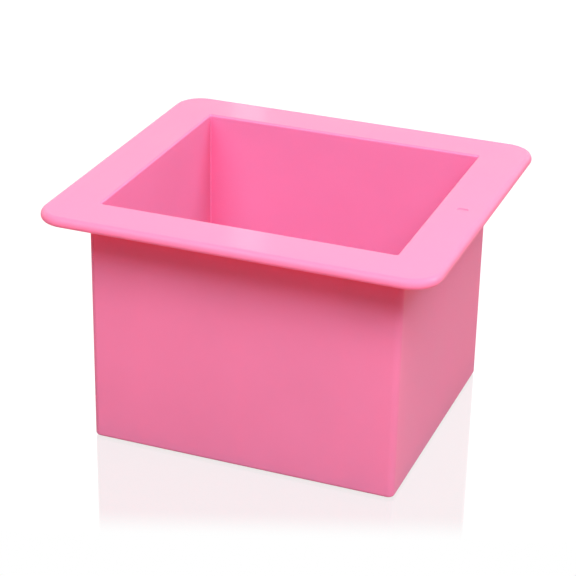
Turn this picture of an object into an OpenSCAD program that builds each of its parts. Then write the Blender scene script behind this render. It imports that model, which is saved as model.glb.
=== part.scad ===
// Soap loaf mould: a one-piece silicone tub with straight walls and a wide flat rim.
// The tub is divided only where the silicone flexes in use: each wall, with its strip of rim,
// bends about its foot between four stiff corners that stand on the floor.
// Origin: centre of the base. +Z is up, -Y is the front.

/* [Cavity] */
// Width of the cavity, left to right
cavity_w = 110; // [80:1:160]
// Depth of the cavity, front to back
cavity_d = 98; // [80:1:160]
// Overall height of the mould
mould_h = 93; // [60:1:120]

/* [Walls] */
// Thickness of the side walls
wall_t = 3.5; // [3:0.1:5]
// Thickness of the floor
floor_t = 4; // [3:0.1:6]
// Radius of the upright outer corners
body_corner_r = 2.5; // [2:0.1:4]
// Radius of the upright corners inside the cavity
cavity_corner_r = 0.6; // [0.5:0.1:3]
// Radius along the bottom edge
foot_edge_r = 1.2; // [0.6:0.1:1.8]

/* [Rim] */
// Width of the rim, from the cavity to its outer edge
rim_w = 18.5; // [16:0.5:26]
// Thickness of the rim
rim_t = 3.8; // [3.8:0.1:5]
// Radius of the rim's corners, seen from above
rim_corner_r = 11; // [6:0.5:14]
// Rounding of the rim's outer edge, above
rim_top_r = 2.2; // [1:0.1:2.2]
// Rounding of the rim's outer edge, below
rim_under_r = 1.5; // [0.4:0.1:1.5]
// Rounding of the edge where the rim turns down into the cavity
lip_r = 1; // [0.5:0.1:1.4]
// Fillet under the rim, where it leaves the wall
root_r = 1; // [0.5:0.1:2]

/* [Flex] */
// Stiff length of wall beside each cavity corner
corner_reach = 16; // [13:1:28]
// Largest angle through which an empty wall can be pressed in, in degrees
flex_in = 4; // [1:0.5:8]

/* [Gate mark] */
// Length of the moulding gate's scar, across the rim
gate_l = 4.2; // [2:0.1:6]
// Width of the scar
gate_w = 2; // [0.8:0.1:3]
// Depth of the scar
gate_h = 0.4; // [0.2:0.1:0.8]
// Distance of the scar from the middle of the right side, towards the front
gate_offset = 3.4; // [2:0.1:10]

/* [Hidden] */
$fn = 64;

silicone = [0.93, 0.50, 0.66];
half_w = cavity_w / 2;
half_d = cavity_d / 2;
rim_under = mould_h - rim_t;
slit = 0.1;         // parting between a flexing wall and the corner beside it
relief = 0.5;       // extra angle of the relief under a wall's foot, in degrees
over = 0.5;         // how far a cutter runs past the face that it cuts

// The sliver between a square corner at the origin and the circle of radius r that rounds it.
// It is cut away to round an outer edge, and added to fill an inner one.
module spandrel(r) {
    difference() {
        translate([-over, -over]) square(r + over);
        translate([r, r]) circle(r);
    }
}

// Cross-section of wall and rim: x is the distance outwards from the cavity, y is the height.
module rim_edge_cuts() {
    translate([rim_w, mould_h]) rotate(180) spandrel(rim_top_r);
    translate([rim_w, rim_under]) rotate(90) spandrel(rim_under_r);
}

module lip_cut() {
    translate([0, mould_h]) rotate(-90) spandrel(lip_r);
}

module root_fillet() {
    translate([wall_t, rim_under]) rotate(-90) spandrel(root_r);
}

// The foot slopes up from its outer edge, which is the line that the wall flexes about,
// so that the wall can lean in without digging into the floor.
module foot_relief() {
    rise = wall_t * tan(flex_in + relief);
    polygon([
        [wall_t + over, floor_t - over],
        [wall_t, floor_t],
        [0, floor_t + rise],
        [-over, floor_t + rise],
        [-over, floor_t - over],
    ]);
}

module wall_section() {
    difference() {
        union() {
            translate([0, floor_t]) square([wall_t, mould_h - floor_t]);
            translate([0, rim_under]) square([rim_w, rim_t]);
            root_fillet();
        }
        rim_edge_cuts();
        lip_cut();
        foot_relief();
    }
}

// One flexing wall with its strip of rim, facing -Y, at a given distance from the centre.
module wall_panel(distance, cavity_length) {
    panel_l = cavity_length - 2 * corner_reach - 2 * slit;
    translate([panel_l / 2, -distance, 0]) rotate([90, 0, -90])
        linear_extrude(panel_l) wall_section();
}

// Walls are numbered round the mould: 0 front, 1 right, 2 back, 3 left.
module wall(side) {
    across = side % 2 == 0;
    rotate([0, 0, 90 * side])
        wall_panel(across ? half_d : half_w, across ? cavity_w : cavity_d);
}

// The scar is an oblong pocket in the rim's upper face, a little in front of the middle.
module gate_scar() {
    translate([half_w + rim_w / 2 - gate_l / 2, -gate_offset - gate_w / 2, mould_h - gate_h])
        cube([gate_l, gate_w, gate_h + over]);
}

// A quarter of a plate around the centre, with its one outer corner rounded.
module quarter_plan(x, y, r) {
    difference() {
        square([x, y]);
        translate([x, y]) rotate(180) spandrel(r);
    }
}

// Carries a cross-section along the mould's outline, round one corner of radius r at (x, y),
// from the stiff corner's end on one side to its end on the other.
module round_corner(x, y, r) {
    end_x = half_w - corner_reach - over;
    end_y = half_d - corner_reach - over;
    translate([end_x, y, 0]) rotate([90, 0, 90]) linear_extrude(x - r - end_x) children();
    translate([x - r, y - r, 0]) rotate_extrude(angle = 90) translate([r, 0]) children();
    translate([x, y - r, 0]) rotate([90, 0, 0]) linear_extrude(y - r - end_y) children();
}

// What lies between an outline at (x, y) and the cavity, in the corner's own quarter.
module corner_plan(x, y, r) {
    intersection() {
        translate([half_w - corner_reach, half_d - corner_reach]) square([x, y]);
        difference() {
            quarter_plan(x, y, r);
            quarter_plan(half_w, half_d, cavity_corner_r);
        }
    }
}

// One stiff corner: an upright angle of wall with the corner of the rim on top.
module corner_block() {
    body = [half_w + wall_t, half_d + wall_t];
    rim = [half_w + rim_w, half_d + rim_w];
    difference() {
        union() {
            translate([0, 0, floor_t]) linear_extrude(mould_h - floor_t)
                corner_plan(body.x, body.y, body_corner_r);
            translate([0, 0, rim_under]) linear_extrude(rim_t)
                corner_plan(rim.x, rim.y, rim_corner_r);
            intersection() {
                round_corner(body.x, body.y, body_corner_r) translate([-wall_t, 0]) root_fillet();
                translate([half_w - corner_reach, half_d - corner_reach, 0])
                    cube([rim.x, rim.y, mould_h - lip_r]);
            }
        }
        round_corner(rim.x, rim.y, rim_corner_r) translate([-rim_w, 0]) rim_edge_cuts();
        round_corner(half_w, half_d, cavity_corner_r) lip_cut();
    }
}

// Corners are mirrored from the back right one: side_x and side_y are 1 or -1.
module corner(side_x, side_y) {
    mirror([side_x < 0 ? 1 : 0, 0, 0])
        mirror([0, side_y < 0 ? 1 : 0, 0])
            corner_block();
}

// The floor carries the corners and the walls' feet, and its bottom edge is rounded all round.
module floor_plate() {
    x = half_w + wall_t;
    y = half_d + wall_t;
    difference() {
        linear_extrude(floor_t) difference() {
            square([2 * x, 2 * y], center = true);
            for (mx = [0, 1], my = [0, 1])
                mirror([mx, 0]) mirror([0, my])
                    translate([x, y]) rotate(180) spandrel(body_corner_r);
        }
        for (mx = [0, 1], my = [0, 1])
            mirror([mx, 0, 0]) mirror([0, my, 0]) foot_edge_cut(x, y);
    }
}

module foot_edge_cut(x, y) {
    r = body_corner_r;
    translate([-over, y, 0]) rotate([90, 0, 90]) linear_extrude(x - r + over)
        rotate(90) spandrel(foot_edge_r);
    translate([x - r, y - r, 0]) rotate_extrude(angle = 90)
        translate([r, 0]) rotate(90) spandrel(foot_edge_r);
    translate([x, y - r, 0]) rotate([90, 0, 0]) linear_extrude(y - r + over)
        rotate(90) spandrel(foot_edge_r);
}

module floor() { color(silicone) floor_plate(); }
module front_wall() { color(silicone) wall(0); }
module right_wall() {
    color(silicone) difference() {
        wall(1);
        gate_scar();
    }
}
module back_wall() { color(silicone) wall(2); }
module left_wall() { color(silicone) wall(3); }
module front_left_corner() { color(silicone) corner(-1, -1); }
module front_right_corner() { color(silicone) corner(1, -1); }
module back_right_corner() { color(silicone) corner(1, 1); }
module back_left_corner() { color(silicone) corner(-1, 1); }

floor();
front_wall();
right_wall();
back_wall();
left_wall();
front_left_corner();
front_right_corner();
back_right_corner();
back_left_corner();
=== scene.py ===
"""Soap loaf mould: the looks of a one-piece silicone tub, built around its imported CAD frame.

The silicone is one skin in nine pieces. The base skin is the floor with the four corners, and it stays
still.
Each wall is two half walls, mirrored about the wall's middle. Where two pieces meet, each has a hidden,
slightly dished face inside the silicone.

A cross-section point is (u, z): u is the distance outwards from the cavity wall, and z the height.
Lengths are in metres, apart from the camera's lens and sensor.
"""

import math

import bmesh
import bpy
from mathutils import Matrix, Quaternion, Vector


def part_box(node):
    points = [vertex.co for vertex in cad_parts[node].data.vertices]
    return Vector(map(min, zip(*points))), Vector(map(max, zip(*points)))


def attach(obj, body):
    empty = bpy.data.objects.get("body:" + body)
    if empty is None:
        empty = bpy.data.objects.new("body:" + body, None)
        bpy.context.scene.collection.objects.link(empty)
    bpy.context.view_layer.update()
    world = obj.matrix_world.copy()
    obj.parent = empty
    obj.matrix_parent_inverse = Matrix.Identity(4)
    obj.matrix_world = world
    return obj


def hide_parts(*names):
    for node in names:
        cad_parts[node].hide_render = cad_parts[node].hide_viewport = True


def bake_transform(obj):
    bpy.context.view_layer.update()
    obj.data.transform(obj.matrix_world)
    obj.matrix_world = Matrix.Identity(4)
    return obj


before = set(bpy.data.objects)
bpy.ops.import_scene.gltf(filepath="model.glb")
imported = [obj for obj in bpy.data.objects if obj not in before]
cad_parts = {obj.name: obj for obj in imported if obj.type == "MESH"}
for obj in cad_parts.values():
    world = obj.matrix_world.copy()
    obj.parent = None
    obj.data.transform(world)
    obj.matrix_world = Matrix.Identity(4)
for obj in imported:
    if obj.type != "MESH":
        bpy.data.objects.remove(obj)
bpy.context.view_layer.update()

MM = 0.001

# The rim's thickness and the roundings, as in the CAD
RIM_T = 3.8 * MM
RIM_CORNER_R = 11 * MM
RIM_TOP_R = 2.2 * MM
RIM_UNDER_R = 1.5 * MM
LIP_R = 1.0 * MM
ROOT_R = 1.0 * MM
BODY_CORNER_R = 2.5 * MM
CAVITY_CORNER_R = 0.6 * MM
FOOT_EDGE_R = 1.2 * MM

# Sizes that the frame gives
HALF_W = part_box("right_wall")[0].x
HALF_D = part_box("back_wall")[0].y
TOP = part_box("right_wall")[1].z
FLOOR_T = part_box("floor")[1].z
WALL_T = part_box("floor")[1].x - HALF_W
RIM_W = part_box("right_wall")[1].x - HALF_W
POST_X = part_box("back_right_corner")[0].x   # where the stiff corners end and the walls begin
POST_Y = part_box("back_right_corner")[0].y

TOUCHING = 0.01 * MM                # what counts as no distance between two heights
WELD_WITHIN = 1e-7                  # vertices this near become one
SHORTEST_EDGE = 1e-8                # shorter edges are dissolved
SHARP_FROM = math.radians(35)       # edges that turn more than this show as edges
NORMAL_WEIGHT = 100                 # the largest there is: flat faces decide the shading

# How finely the skin is divided
ARC_STEPS = 8
CORNER_STEPS = 14
RIM_TOP_STEPS = 6
RIM_UNDER_STEPS = 5
WALL_ROWS = 12
WALL_COLUMNS = 30

# The foot of a wall, where it meets the floor
FILLET_R = CAVITY_CORNER_R          # inside the cavity, along the floor's edge
KEY_DEPTH = 1.0 * MM                # the fillet's hidden part, inside the wall
TUCK = 1.0 * MM                     # how far a wall's inner face runs on below the floor's top

JOINT_DISH = 0.3 * MM               # hollow in a joint face, so that no two faces lie on each other
FLOOR_GAP = 0.2 * MM                # the studio floor lies this far under the mould, for the same reason

# Gate scar on the right rim: an oblong dip
GATE_L = 4.2 * MM
GATE_W = 2.0 * MM
GATE_DEPTH = 0.4 * MM
GATE_Y = -3.4 * MM
# Its outline widens from its bottom to just over the rim's top: shares of the width and of the depth
GATE_RINGS = ((0.62, -1.0), (0.86, -0.8), (1.0, -0.4), (1.06, 0.3))

# Camera, as the object is seen from the front, the right and above
VIEW_AZIMUTH = math.radians(20.65)
VIEW_ELEVATION = math.radians(25.47)
VIEW_ROLL = math.radians(1.15)
VIEW_DISTANCE = 0.7123
VIEW_AIM = Vector((-0.0020, -0.0008, 0.0487))
VIEW_LENS = 118.7                   # in millimetres,
VIEW_SENSOR = 36                    # and so is this width
VIEW_NEAR = 0.05

# Light: softboxes at one distance from the object, in a white studio
SOFTBOX_SIZE = 0.45
SOFTBOX_DISTANCE = 1.1
LIGHT_AIM = Vector((0, 0, 0.05))
REFLECTED_WHITE = 2.0               # how bright the white studio is in the silicone's gloss

# The studio's floor. The grey is what it gives back to everything but the camera.
GROUND_SIZE = 8
GROUND_GREY = (0.35, 0.35, 0.35, 1)
GROUND_GLOSS = 0.20
GROUND_ROUGHNESS = 0.06
GLOSS_FADES_FROM = 78 * MM          # distance from the middle towards the viewer
GLOSS_ENDS_AT = 96 * MM

# Silicone colours: the open colour is the silicone's own, and the others are painted light and shade
OPEN_COLOUR = (0.86, 0.265, 0.495, 1)
# Painted shade: the deep red of the skin under the rim and in corners
PAINTED_SHADE_RED = (0.99, 0.03, 0.08, 1)
# The silicone's colour on the cavity's faces, made bluer as painted light for how the light falls inside the
# cavity
CAVITY_PAINTED_LIGHT = (0.74, 0.30, 0.61, 1)
# Painted shade in the cavity's creases and inside corners
CREASE_PAINTED_SHADE = (0.80, 0.10, 0.34, 1)
# Painted shade on the rim's rounded edges and underside, milder than on the walls
RIM_SHADE_COLOUR = (0.80, 0.18, 0.36, 1)
# Painted shade in the gate scar's dip, darker than the rim, as a deeper dip would shade
GATE_PAINTED_SHADE = (0.74, 0.25, 0.46, 1)

# Painted shade: how enclosed the skin is sets how deep its painted shade is
SKY_LEAN = 0.8                      # how far the search for what encloses a surface leans upwards
ENCLOSED_WITHIN = 24 * MM
ENCLOSED_SAMPLES = 8
ENCLOSED_AT = 0.16                  # the open share of the view at which the colour is deepest,
OPEN_AT = 0.75                      # and the share from which it is palest

# Light that goes into the silicone: its share, its colour when it comes out, and between two pieces
LIGHT_THROUGH = 0.41
THROUGH_COLOUR = (0.99, 0.08, 0.21, 1)
CORE_COLOUR = (0.99, 0.60, 0.70, 1)

# Surface of the silicone
SILICONE_IOR = 1.5
COAT = 0.30                         # a faint wet shine over the satin,
WALL_COAT = 0.12                    # and less of it on the outer walls
COAT_ROUGHNESS = 0.08
SHEEN = 0.12
SHEEN_ROUGHNESS = 0.5
SATIN_ROUGHNESS = (0.40, 0.50)

# Noise: a mottle in the pigment, a fine grain from the mould, and a broad soft unevenness
MOTTLE_SCALE = 38.0
MOTTLE_DETAIL = 4.0
MOTTLE_ROUGHNESS = 0.55
MOTTLE_BAND = (0.3, 0.7)            # the part of the noise that is used
MOTTLE_TONE = (0.975, 1.015)        # what it multiplies the colour by
GRAIN_SCALE = 2600.0
GRAIN_DETAIL = 2.0
GRAIN_STRENGTH = 0.12
GRAIN_HEIGHT = 0.04 * MM
SAG_SCALE = 22.0
SAG_DETAIL = 1.0
SAG_STRENGTH = 0.35
SAG_HEIGHT = 0.4 * MM

# Kinds of face, in the order of a piece's materials
SKIN, CAVITY_FACE, RIM_FACE, JOINT_FACE, GATE_FACE = range(5)


# ---------------------------------------------------------------- cross-sections

def arc(u, z, radius, start, end, steps=ARC_STEPS):
    """Points on an arc about the centre (u, z), from one angle to another in degrees."""
    angles = [math.radians(start + (end - start) * i / steps) for i in range(steps + 1)]
    return [(u + radius * math.cos(a), z + radius * math.sin(a)) for a in angles]


def line(a, b, steps):
    """Points between a and b, without either end."""
    return [(a[0] + (b[0] - a[0]) * i / steps, a[1] + (b[1] - a[1]) * i / steps) for i in range(1, steps)]


def lip_and_rim():
    """From the top of the cavity wall over the lip, round the rim's edge and back to the outer wall."""
    under = TOP - RIM_T
    lip = arc(LIP_R, TOP - LIP_R, LIP_R, 180, 90)
    edge = arc(RIM_W - RIM_TOP_R, TOP - RIM_TOP_R, RIM_TOP_R, 90, 0)
    below = arc(RIM_W - RIM_UNDER_R, under + RIM_UNDER_R, RIM_UNDER_R, 0, -90)
    root = arc(WALL_T + ROOT_R, under - ROOT_R, ROOT_R, 90, 180)
    top_face = line(lip[-1], edge[0], RIM_TOP_STEPS)
    under_face = line(below[-1], root[0], RIM_UNDER_STEPS)
    return lip + top_face + edge + below + under_face + root


def wall_and_rim(inner_foot):
    """From the inner foot up, over the rim and down to the outer foot on the floor's edge."""
    rim = lip_and_rim()
    outer_foot = (WALL_T, FLOOR_T)
    inside = [inner_foot] + line(inner_foot, rim[0], WALL_ROWS)
    outside = line(rim[-1], outer_foot, WALL_ROWS) + [outer_foot]
    return inside + rim + outside


def fillet_section():
    """The fillet from the floor's top up to the cavity wall."""
    return arc(-FILLET_R, FLOOR_T + FILLET_R, FILLET_R, -90, 0)


def foot_section():
    """The floor's outer edge, from the foot of the wall round to the base."""
    return [(WALL_T, FLOOR_T)] + arc(WALL_T - FOOT_EDGE_R, FOOT_EDGE_R, FOOT_EDGE_R, 0, -90)


def corner_radius(u):
    """Radius at which the surface at distance u goes round an upright corner. Between the rounded edges the
    surface is flat, so any radius there gives the same shape."""
    known = [
        (LIP_R, CAVITY_CORNER_R + LIP_R),
        (WALL_T - FOOT_EDGE_R, BODY_CORNER_R - FOOT_EDGE_R),
        (WALL_T, BODY_CORNER_R),
        (WALL_T + ROOT_R, BODY_CORNER_R + ROOT_R),
        (RIM_W - RIM_TOP_R, RIM_CORNER_R - RIM_TOP_R),
        (RIM_W, RIM_CORNER_R),
    ]
    if u <= LIP_R:
        return CAVITY_CORNER_R + u
    for (u0, r0), (u1, r1) in zip(known, known[1:]):
        if u <= u1:
            return r0 + (r1 - r0) * (u - u0) / (u1 - u0)
    return RIM_CORNER_R


# ---------------------------------------------------------------- meshes

def add_strip(bm, rings, kind=SKIN):
    """Quads between each ring of points and the next."""
    made = [[bm.verts.new(p) for p in ring] for ring in rings]
    for a, b in zip(made, made[1:]):
        for i in range(len(a) - 1):
            bm.faces.new((a[i], a[i + 1], b[i + 1], b[i])).material_index = kind


def add_face(bm, points, kind=SKIN):
    bm.faces.new([bm.verts.new(p) for p in points]).material_index = kind


def skin_kind(point):
    """What a point on the skin belongs to. The cavity reaches up to the middle of the lip's rounding."""
    half_lip = LIP_R * (1 - math.cos(math.pi / 4))
    if abs(point.x) < HALF_W + half_lip and abs(point.y) < HALF_D + half_lip and point.z > FLOOR_T - TUCK:
        return CAVITY_FACE
    return RIM_FACE if point.z > TOP - RIM_T - TOUCHING else SKIN


def finish_mesh(bm, name, materials):
    """Joins what touches, points all faces outwards, gives each face of the skin its kind, dishes the joint
    faces and makes the object."""
    bmesh.ops.remove_doubles(bm, verts=bm.verts, dist=WELD_WITHIN)
    bmesh.ops.dissolve_degenerate(bm, edges=bm.edges, dist=SHORTEST_EDGE)
    bmesh.ops.recalc_face_normals(bm, faces=bm.faces)
    for face in bm.faces:
        if face.material_index == SKIN:
            face.material_index = skin_kind(face.calc_center_median())
    joint_faces = [face for face in bm.faces if face.material_index == JOINT_FACE]
    bmesh.ops.inset_region(
        bm, faces=joint_faces, thickness=JOINT_DISH, depth=-JOINT_DISH, use_even_offset=True,
    )
    mesh = bpy.data.meshes.new(name)
    bm.to_mesh(mesh)
    bm.free()
    for material in materials:
        mesh.materials.append(material)
    for face in mesh.polygons:
        face.use_smooth = True
    mesh.set_sharp_from_angle(angle=SHARP_FROM)
    piece = bpy.data.objects.new(name, mesh)
    bpy.context.scene.collection.objects.link(piece)
    return piece


def even_normals(piece):
    """Keeps flat faces flat next to their rounded edges."""
    modifier = piece.modifiers.new("even_normals", "WEIGHTED_NORMAL")
    modifier.keep_sharp = True
    modifier.weight = NORMAL_WEIGHT


def corner_point(u, z, turn):
    """A point on the back right corner: turn is 90 degrees at the back and 0 at the right."""
    r = corner_radius(u)
    return Vector((HALF_W + u - r + r * math.cos(turn), HALF_D + u - r + r * math.sin(turn), z))


def corner_rings(section):
    """The section along the back, round the back right corner and along the right."""
    turns = [math.pi / 2 * (1 - i / CORNER_STEPS) for i in range(CORNER_STEPS + 1)]
    start = [Vector((POST_X, HALF_D + u, z)) for u, z in section]
    end = [Vector((HALF_W + u, POST_Y, z)) for u, z in section]
    return [start] + [[corner_point(u, z, t) for u, z in section] for t in turns] + [end]


def mirrored(points, side_x, side_y):
    return [Vector((p.x * side_x, p.y * side_y, p.z)) for p in points]


def base_skin(materials):
    """Floor and four corners in one closed mesh."""
    bm = bmesh.new()
    inner_foot = (0.0, FLOOR_T + FILLET_R)
    tall = wall_and_rim(inner_foot)
    fillet, foot = fillet_section(), foot_section()
    ledge = [inner_foot, (KEY_DEPTH, FLOOR_T + FILLET_R), (KEY_DEPTH, FLOOR_T), (WALL_T, FLOOR_T)]
    corner_end = tall + ledge[-2:0:-1]
    for side_x, side_y in ((1, 1), (-1, 1), (-1, -1), (1, -1)):
        for section in (fillet, tall, foot):
            add_strip(bm, [mirrored(ring, side_x, side_y) for ring in corner_rings(section)])
        at_back = [Vector((POST_X, HALF_D + u, z)) for u, z in corner_end]
        at_right = [Vector((HALF_W + u, POST_Y, z)) for u, z in corner_end]
        for end in (at_back, at_right):
            add_face(bm, mirrored(end, side_x, side_y), JOINT_FACE)
    for side in (1, -1):
        for section, kind in ((fillet, SKIN), (ledge, JOINT_FACE), (foot, SKIN)):
            along_x = [[Vector((x, side * (HALF_D + u), z)) for u, z in section] for x in (POST_X, -POST_X)]
            along_y = [[Vector((side * (HALF_W + u), y, z)) for u, z in section] for y in (POST_Y, -POST_Y)]
            add_strip(bm, along_x, kind)
            add_strip(bm, along_y, kind)
    for (u, z), turns in ((fillet[0], 0), (foot[-1], CORNER_STEPS)):
        add_face(bm, outline(u, z, turns))
    return finish_mesh(bm, "base_skin", materials)


def outline(u, z, steps):
    """The closed outline at (u, z): a rectangle, with round corners if steps isn't 0."""
    points = []
    for side_x, side_y, backwards in ((1, 1, False), (1, -1, True), (-1, -1, False), (-1, 1, True)):
        turns = [math.pi / 2 * (1 - i / max(steps, 1)) for i in range(steps + 1)]
        quarter = [Vector((POST_X, HALF_D + u, z))]
        quarter += [corner_point(u, z, t) for t in turns]
        quarter += [Vector((HALF_W + u, POST_Y, z))]
        if backwards:
            quarter.reverse()
        points += mirrored(quarter, side_x, side_y)
    return points


def half_wall(name, materials, span, distance, turn, side):
    """Half of a wall that faces -Y until it is turned. It runs from x = span * side, where the corner ends,
    to the middle."""
    bm = bmesh.new()
    section = wall_and_rim((0.0, FLOOR_T - TUCK))
    columns = [span * side * (1 - i / WALL_COLUMNS) for i in range(WALL_COLUMNS + 1)]
    turned = Quaternion((0, 0, 1), math.radians(turn))
    rings = [[turned @ Vector((x, -(distance + u), z)) for u, z in section] for x in columns]
    add_strip(bm, rings)
    add_strip(bm, [(ring[-1], ring[0]) for ring in rings], JOINT_FACE)
    add_face(bm, rings[0], JOINT_FACE)
    add_face(bm, rings[-1], JOINT_FACE)
    return finish_mesh(bm, name, materials)


def cut_gate_scar(piece, gate_skin):
    """Cuts the shallow oblong scar, with rounded ends, into the top of the right rim."""
    piece.data.materials.append(gate_skin)
    bm = bmesh.new()
    centre = Vector((HALF_W + RIM_W / 2, GATE_Y, TOP))
    radius = GATE_W / 2
    reach = GATE_L / 2 - radius
    ends = arc(reach, 0, radius, -90, 90) + arc(-reach, 0, radius, 90, 270)
    rings = []
    for scale, depths in GATE_RINGS:
        along = 1 - (1 - scale) * radius / (reach + radius)
        z = depths * GATE_DEPTH
        rings.append([centre + Vector((x * along, y * scale, z)) for x, y in ends])
    add_strip(bm, [ring + ring[:1] for ring in rings], GATE_FACE)
    add_face(bm, rings[0], GATE_FACE)
    add_face(bm, rings[-1], GATE_FACE)
    cutter = finish_mesh(bm, "gate_cutter", piece.data.materials)
    cut = piece.modifiers.new("gate_scar", "BOOLEAN")
    cut.operation = "DIFFERENCE"
    cut.solver = "EXACT"
    cut.object = cutter
    evaluated = piece.evaluated_get(bpy.context.evaluated_depsgraph_get())
    mesh = bpy.data.meshes.new_from_object(evaluated)
    piece.modifiers.clear()
    piece.data = mesh
    bpy.data.objects.remove(cutter)


# ---------------------------------------------------------------- materials

def node(tree, kind, **inputs):
    """A new node with these inputs set. An underscore in a name stands for a space."""
    made = tree.nodes.new(kind)
    for name, value in inputs.items():
        made.inputs[name.replace("_", " ")].default_value = value
    return made


def mapped(tree, value, source, target):
    """A node that carries a value from one range to another."""
    made = node(
        tree, "ShaderNodeMapRange",
        From_Min=source[0], From_Max=source[1], To_Min=target[0], To_Max=target[1],
    )
    tree.links.new(value, made.inputs["Value"])
    return made


def silicone_material(name, open_colour, painted_shade_red, coat):
    """Satin pink silicone that lets red light through, with painted shade: pale where open, deep red where
    enclosed.
    """
    material = bpy.data.materials.new(name)
    material.use_nodes = True
    tree = material.node_tree
    tree.nodes.clear()
    link = tree.links.new

    place = tree.nodes.new("ShaderNodeTexCoord")

    # Painted shade: open surfaces keep the pale colour, and enclosed ones are painted a deep red, standing
    # in for the shade there and for light that has passed through silicone
    surface = tree.nodes.new("ShaderNodeNewGeometry")
    lean = node(tree, "ShaderNodeVectorMath")
    lean.operation = "ADD"
    lean.inputs[1].default_value = (0, 0, SKY_LEAN)
    link(surface.outputs["Normal"], lean.inputs[0])
    enclosed = node(tree, "ShaderNodeAmbientOcclusion", Distance=ENCLOSED_WITHIN)
    enclosed.samples = ENCLOSED_SAMPLES
    link(lean.outputs["Vector"], enclosed.inputs["Normal"])
    depth = tree.nodes.new("ShaderNodeValToRGB")
    ramp = depth.color_ramp
    ramp.elements[0].position, ramp.elements[0].color = ENCLOSED_AT, painted_shade_red
    ramp.elements[1].position, ramp.elements[1].color = OPEN_AT, open_colour
    link(enclosed.outputs["AO"], depth.inputs["Fac"])

    # Pigment that is mixed a little unevenly
    mottle = node(
        tree, "ShaderNodeTexNoise",
        Scale=MOTTLE_SCALE, Detail=MOTTLE_DETAIL, Roughness=MOTTLE_ROUGHNESS,
    )
    link(place.outputs["Object"], mottle.inputs["Vector"])
    uneven = mapped(tree, mottle.outputs["Fac"], MOTTLE_BAND, MOTTLE_TONE)
    tone = node(tree, "ShaderNodeVectorMath")
    tone.operation = "SCALE"
    link(depth.outputs["Color"], tone.inputs[0])
    link(uneven.outputs["Result"], tone.inputs["Scale"])

    # Satin skin: fine grain from the mould, and a broad soft unevenness
    grain = node(tree, "ShaderNodeTexNoise", Scale=GRAIN_SCALE, Detail=GRAIN_DETAIL)
    link(place.outputs["Object"], grain.inputs["Vector"])
    bump = node(tree, "ShaderNodeBump", Strength=GRAIN_STRENGTH, Distance=GRAIN_HEIGHT)
    link(grain.outputs["Fac"], bump.inputs["Height"])
    sag = node(tree, "ShaderNodeTexNoise", Scale=SAG_SCALE, Detail=SAG_DETAIL)
    link(place.outputs["Object"], sag.inputs["Vector"])
    wave = node(tree, "ShaderNodeBump", Strength=SAG_STRENGTH, Distance=SAG_HEIGHT)
    link(sag.outputs["Fac"], wave.inputs["Height"])
    link(bump.outputs["Normal"], wave.inputs["Normal"])

    satin = mapped(tree, mottle.outputs["Fac"], MOTTLE_BAND, SATIN_ROUGHNESS)

    skin = node(
        tree, "ShaderNodeBsdfPrincipled",
        IOR=SILICONE_IOR, Sheen_Weight=SHEEN, Sheen_Roughness=SHEEN_ROUGHNESS,
        Coat_Weight=coat, Coat_Roughness=COAT_ROUGHNESS,
    )
    link(tone.outputs["Vector"], skin.inputs["Base Color"])
    link(satin.outputs["Result"], skin.inputs["Roughness"])
    link(wave.outputs["Normal"], skin.inputs["Normal"])

    # Light that goes in at one face of the silicone and comes out at another, nearly all of it red
    through = node(tree, "ShaderNodeBsdfTranslucent", Color=THROUGH_COLOUR)
    both = node(tree, "ShaderNodeMixShader", Fac=LIGHT_THROUGH)
    link(skin.outputs["BSDF"], both.inputs[1])
    link(through.outputs["BSDF"], both.inputs[2])

    out = tree.nodes.new("ShaderNodeOutputMaterial")
    link(both.outputs["Shader"], out.inputs["Surface"])
    return material


def core_material():
    """The hidden faces where two pieces of skin meet. They pass light on, as the unbroken silicone does."""
    material = bpy.data.materials.new("silicone_core")
    material.use_nodes = True
    tree = material.node_tree
    tree.nodes.clear()
    through = node(tree, "ShaderNodeBsdfTranslucent", Color=CORE_COLOUR)
    out = tree.nodes.new("ShaderNodeOutputMaterial")
    tree.links.new(through.outputs["BSDF"], out.inputs["Surface"])
    return material


def stage_material():
    """White to the camera, with a gloss that fades out towards it, and a plain grey to all other light."""
    material = bpy.data.materials.new("studio_white")
    material.use_nodes = True
    tree = material.node_tree
    tree.nodes.clear()
    link = tree.links.new
    place = tree.nodes.new("ShaderNodeTexCoord")
    towards_front = node(tree, "ShaderNodeVectorMath")
    towards_front.operation = "DOT_PRODUCT"
    towards_front.inputs[1].default_value = (math.sin(VIEW_AZIMUTH), -math.cos(VIEW_AZIMUTH), 0)
    link(place.outputs["Object"], towards_front.inputs[0])
    distance = towards_front.outputs["Value"]
    fade = mapped(tree, distance, (GLOSS_FADES_FROM, GLOSS_ENDS_AT), (GROUND_GLOSS, 0.0))
    fade.interpolation_type = "SMOOTHSTEP"

    white = node(tree, "ShaderNodeEmission", Strength=1.0)
    gloss = node(tree, "ShaderNodeBsdfGlossy", Roughness=GROUND_ROUGHNESS)
    seen = tree.nodes.new("ShaderNodeMixShader")
    link(fade.outputs["Result"], seen.inputs["Fac"])
    link(white.outputs["Emission"], seen.inputs[1])
    link(gloss.outputs["BSDF"], seen.inputs[2])

    paper = node(tree, "ShaderNodeBsdfDiffuse", Color=GROUND_GREY)
    path = tree.nodes.new("ShaderNodeLightPath")
    both = tree.nodes.new("ShaderNodeMixShader")
    link(path.outputs["Is Camera Ray"], both.inputs["Fac"])
    link(paper.outputs["BSDF"], both.inputs[1])
    link(seen.outputs["Shader"], both.inputs[2])
    out = tree.nodes.new("ShaderNodeOutputMaterial")
    link(both.outputs["Shader"], out.inputs["Surface"])
    return material


# ---------------------------------------------------------------- studio

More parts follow.
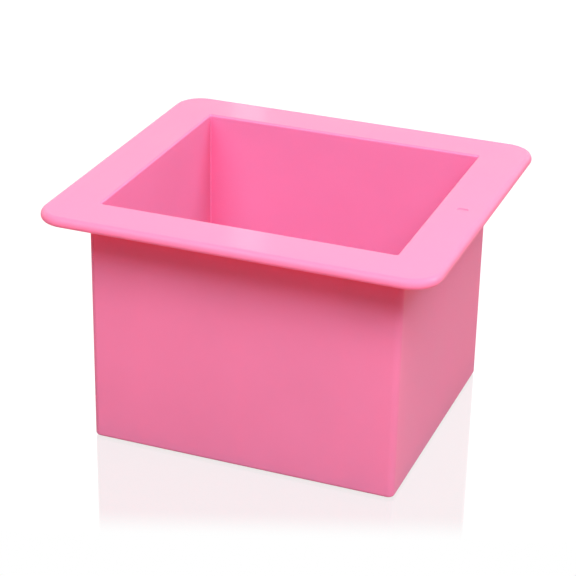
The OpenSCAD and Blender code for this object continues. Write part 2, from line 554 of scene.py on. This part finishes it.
def camera():
    """The camera at the photograph's angle."""
    back = Vector((
        math.sin(VIEW_AZIMUTH) * math.cos(VIEW_ELEVATION),
        -math.cos(VIEW_AZIMUTH) * math.cos(VIEW_ELEVATION),
        math.sin(VIEW_ELEVATION),
    ))
    data = bpy.data.cameras.new("camera")
    data.lens = VIEW_LENS
    data.sensor_width = VIEW_SENSOR
    data.clip_start = VIEW_NEAR
    made = bpy.data.objects.new("camera", data)
    made.location = VIEW_AIM + back * VIEW_DISTANCE
    made.rotation_mode = "QUATERNION"
    made.rotation_quaternion = (-back).to_track_quat("-Z", "Y") @ Quaternion((0, 0, 1), VIEW_ROLL)
    bpy.context.scene.collection.objects.link(made)
    bpy.context.scene.camera = made


def softbox(name, azimuth, elevation, watts, width=SOFTBOX_SIZE, height=SOFTBOX_SIZE, in_gloss=True):
    """An area light that faces the object from that direction, in degrees. The gloss mirrors it if in_gloss
    is true."""
    a, e = math.radians(azimuth), math.radians(elevation)
    towards = Vector((math.sin(a) * math.cos(e), -math.cos(a) * math.cos(e), math.sin(e)))
    data = bpy.data.lights.new(name, "AREA")
    data.shape = "RECTANGLE"
    data.size = width
    data.size_y = height
    data.energy = watts
    lamp = bpy.data.objects.new(name, data)
    lamp.location = LIGHT_AIM + towards * SOFTBOX_DISTANCE
    lamp.rotation_mode = "QUATERNION"
    lamp.rotation_quaternion = (-towards).to_track_quat("-Z", "Y")
    lamp.visible_glossy = in_gloss
    bpy.context.scene.collection.objects.link(lamp)


def studio():
    """World, lamps and floor."""
    world = bpy.data.worlds.new("studio")
    world.use_nodes = True
    tree = world.node_tree
    tree.nodes.clear()
    # White to the camera and in reflections. The softboxes give all the other light.
    path = tree.nodes.new("ShaderNodeLightPath")
    strength = tree.nodes.new("ShaderNodeMath")
    strength.operation = "MULTIPLY_ADD"
    tree.links.new(path.outputs["Is Glossy Ray"], strength.inputs[0])
    strength.inputs[1].default_value = REFLECTED_WHITE
    tree.links.new(path.outputs["Is Camera Ray"], strength.inputs[2])
    white = node(tree, "ShaderNodeBackground", Color=(1, 1, 1, 1))
    tree.links.new(strength.outputs["Value"], white.inputs["Strength"])
    out = tree.nodes.new("ShaderNodeOutputWorld")
    tree.links.new(white.outputs["Background"], out.inputs["Surface"])
    bpy.context.scene.world = world
    bpy.context.scene.view_settings.view_transform = "Standard"

    # Name, azimuth, elevation and watts
    softbox("key", 45, 52, 11.7, in_gloss=False)
    softbox("front", 10, 52, 8.2, in_gloss=False)
    softbox("left", -25, 50, 3.0)
    softbox("right", 110, 40, 5.2)
    softbox("back", 175, 14, 4.5, in_gloss=False)
    softbox("back_left", -120, 14, 6.0, in_gloss=False)
    softbox("strip", -157, 24, 0.06, width=0.03, height=0.22)

    bpy.ops.mesh.primitive_plane_add(size=GROUND_SIZE, location=(0, 0, -FLOOR_GAP))
    ground = bpy.context.object
    ground.name = "studio_floor"
    ground.data.materials.append(stage_material())
    # The silicone's painted shade leaves the floor out
    ground.visible_shadow = False       # so that the floor doesn't count as enclosing the walls' feet


# ---------------------------------------------------------------- the mould

def build_mould():
    """The base skin, on the root body, and the eight half walls."""
    # Each silicone material has painted shade where the skin is enclosed; the cavity's faces also have
    # painted light
    materials = (
        silicone_material("silicone_skin", OPEN_COLOUR, PAINTED_SHADE_RED, WALL_COAT),
        silicone_material("silicone_cavity_painted_light", CAVITY_PAINTED_LIGHT, CREASE_PAINTED_SHADE, COAT),
        silicone_material("silicone_rim", OPEN_COLOUR, RIM_SHADE_COLOUR, COAT),
        core_material(),
    )
    # The gate scar's faces: painted shade that makes the shallow dip look deeper
    gate_skin = silicone_material("silicone_gate_painted_dip", GATE_PAINTED_SHADE, PAINTED_SHADE_RED, 0.0)
    base = base_skin(materials)
    even_normals(base)
    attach(base, "root")
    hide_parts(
        "floor", "front_left_corner", "front_right_corner", "back_right_corner", "back_left_corner",
    )

    walls = (
        ("front", 0, POST_X, HALF_D),
        ("right", 90, POST_Y, HALF_W),
        ("back", 180, POST_X, HALF_D),
        ("left", 270, POST_Y, HALF_W),
    )
    for body, turn, span, distance in walls:
        for side, half in ((-1, "first"), (1, "second")):
            piece = half_wall(f"{body}_wall_{half}_half", materials, span, distance, turn, side)
            if body == "right" and side == -1:
                cut_gate_scar(piece, gate_skin)
            even_normals(piece)
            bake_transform(piece)
            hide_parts(f"{body}_wall")


camera()
studio()
build_mould()
